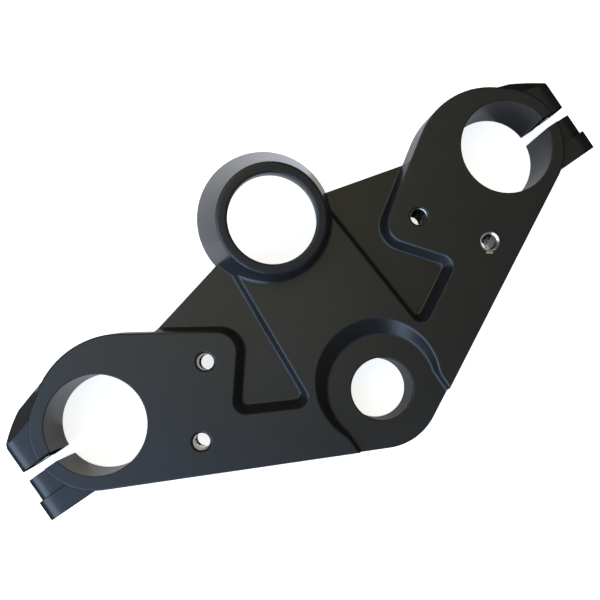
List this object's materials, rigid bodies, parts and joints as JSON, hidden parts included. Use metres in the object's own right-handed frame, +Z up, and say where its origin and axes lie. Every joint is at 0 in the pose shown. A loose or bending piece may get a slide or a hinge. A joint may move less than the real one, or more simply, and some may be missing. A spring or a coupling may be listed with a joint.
{
  "type": "motorcycle upper triple clamp",
  "caption": "Cast aluminium upper triple clamp of a motorcycle, black coated, with two split fork clamps, a stem hole and a leaning ring for the ignition switch.",
  "frame": {"origin": "on the axis of the steering stem, in the underside plane", "axes": "+X across to the right fork tube as the rider sits, +Y forward to the switch ring, +Z up along the stem axis"},
  "size_m": [0.288, 0.1431, 0.0462],
  "materials": {
    "black_coated_casting": "satin black coat on a blasted casting, with machined bores"
  },
  "bodies": {
    "root": {"upper_triple_clamp": "black_coated_casting"}
  },
  "joints": []
}
